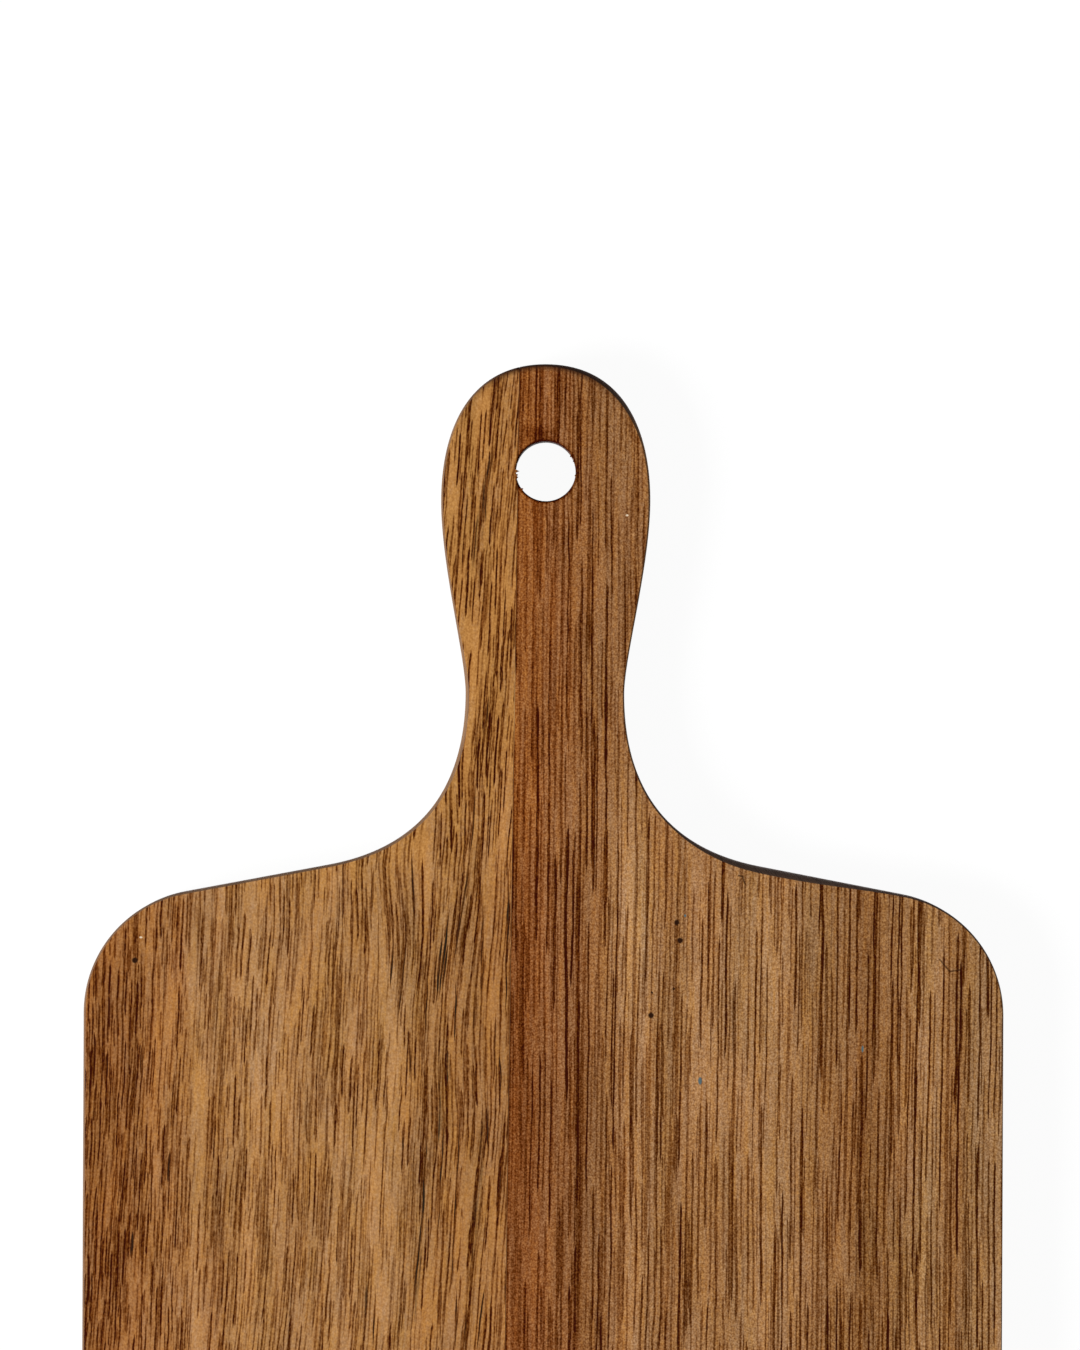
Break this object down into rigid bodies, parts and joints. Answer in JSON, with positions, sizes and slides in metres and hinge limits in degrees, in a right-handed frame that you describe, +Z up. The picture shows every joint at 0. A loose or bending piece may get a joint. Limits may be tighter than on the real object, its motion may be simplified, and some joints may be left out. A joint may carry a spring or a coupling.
{
  "type": "serving board",
  "caption": "Paddle-shaped wooden serving board, glued up edge to edge from staves, with a waisted grip handle, a hanging hole in its head and eased edges.",
  "frame": {"origin": "on the underside, at the middle of the board's length and width", "axes": "+X to the right stave's side, +Y along the board to the tip of the handle, +Z up out of the serving face"},
  "size_m": [0.2, 0.38, 0.015],
  "materials": {
    "left_stave_wood": "oiled golden-brown acacia with short dark vessel dashes",
    "right_stave_wood": "oiled brown acacia with straight dark grain lines",
    "dried_glue": "thin dried wood glue, dark brown"
  },
  "bodies": {
    "root": {"left_stave": "left_stave_wood", "right_stave": "right_stave_wood", "glue_line": "dried_glue", "glue_line_above_hole": "dried_glue"}
  },
  "joints": []
}
